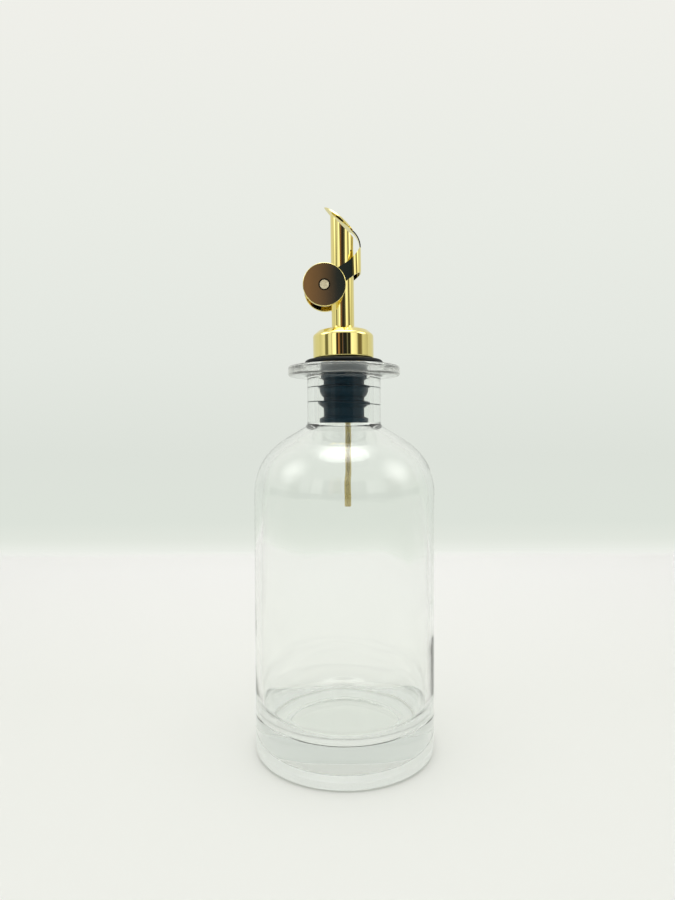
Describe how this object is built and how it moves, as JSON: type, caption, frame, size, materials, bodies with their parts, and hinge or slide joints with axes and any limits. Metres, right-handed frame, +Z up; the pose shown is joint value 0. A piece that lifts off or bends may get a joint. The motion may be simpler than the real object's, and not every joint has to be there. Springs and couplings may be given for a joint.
{
  "type": "oil dispenser bottle",
  "caption": "Clear round glass oil bottle with a flat lip, a rubber stopper and a slim gold metal spout with a weighted flip lid.",
  "frame": {"origin": "centre of the bottle's foot, on the surface it stands on", "axes": "+Z up along the bottle's axis, -Y towards the viewer, the lid's hinge runs along Y and the lid opens towards +X"},
  "size_m": [0.073, 0.073, 0.2196],
  "materials": {
    "clear_glass": "smooth clear soda-lime glass with a faint green cast",
    "black_rubber": "satin blue-black moulded rubber",
    "gold_metal": "polished pale gold-coloured metal",
    "rivet_metal": "satin pale gold-coloured metal"
  },
  "bodies": {
    "bottle": {"glass_bottle": "clear_glass", "stopper": "black_rubber", "breather_tube": "gold_metal", "collar": "gold_metal", "spout_tube": "gold_metal"},
    "flap": {"flap": "gold_metal", "weight_front": "gold_metal", "weight_rear": "gold_metal", "rivet_front": "rivet_metal", "rivet_rear": "rivet_metal"}
  },
  "joints": [
    {"name": "flap_hinge", "type": "hinge", "parent": "bottle", "child": "flap", "pos_m": [-0.0005, 0, 0.19184], "axis": [0, 1, 0], "range_deg": [0, 55]}
  ]
}
